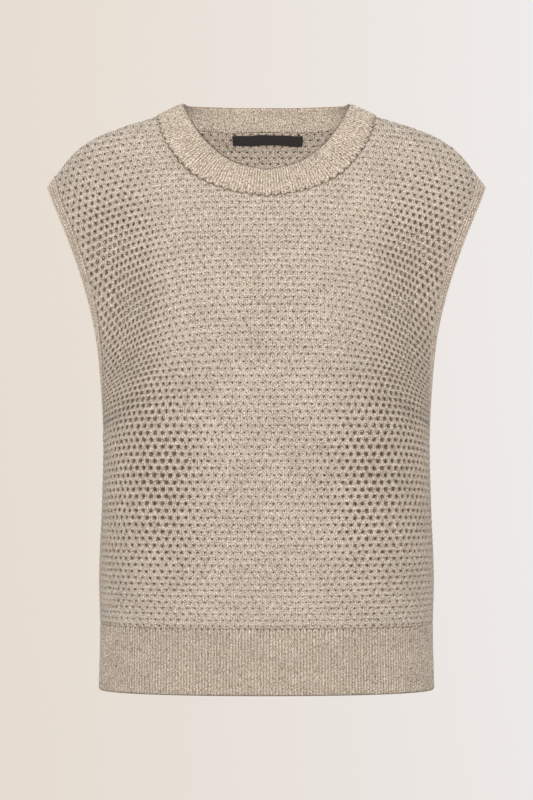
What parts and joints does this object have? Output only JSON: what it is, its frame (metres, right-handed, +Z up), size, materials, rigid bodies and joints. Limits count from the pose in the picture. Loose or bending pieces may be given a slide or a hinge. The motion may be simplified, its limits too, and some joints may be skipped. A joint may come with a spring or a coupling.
{
  "type": "sleeveless knit top",
  "caption": "Sleeveless crew-neck top in openwork mesh knit with ribbed neck, hem and armhole bands, standing open in the shape it has when worn.",
  "frame": {"origin": "on the centre plane, midway between front and back at the shoulder seams, level with the two points where the neckband crosses the shoulders", "axes": "+Z up along the wearer's height, +X to the right seen from the front (the wearer's left), -Y the way the front faces"},
  "size_m": [0.4534, 0.2259, 0.603],
  "materials": {
    "mesh_knit": "openwork knit of beige marl yarn, matt",
    "rib_knit": "one-by-one ribbing of beige marl yarn, matt",
    "woven_tape": "black woven tape, slight satin"
  },
  "bodies": {
    "root": {"front_panel": "mesh_knit", "back_panel": "mesh_knit", "hem_rib_front": "rib_knit", "hem_rib_back": "rib_knit", "neck_band": "rib_knit", "armhole_band_left": "rib_knit", "armhole_band_right": "rib_knit", "neck_label": "woven_tape"}
  },
  "joints": []
}
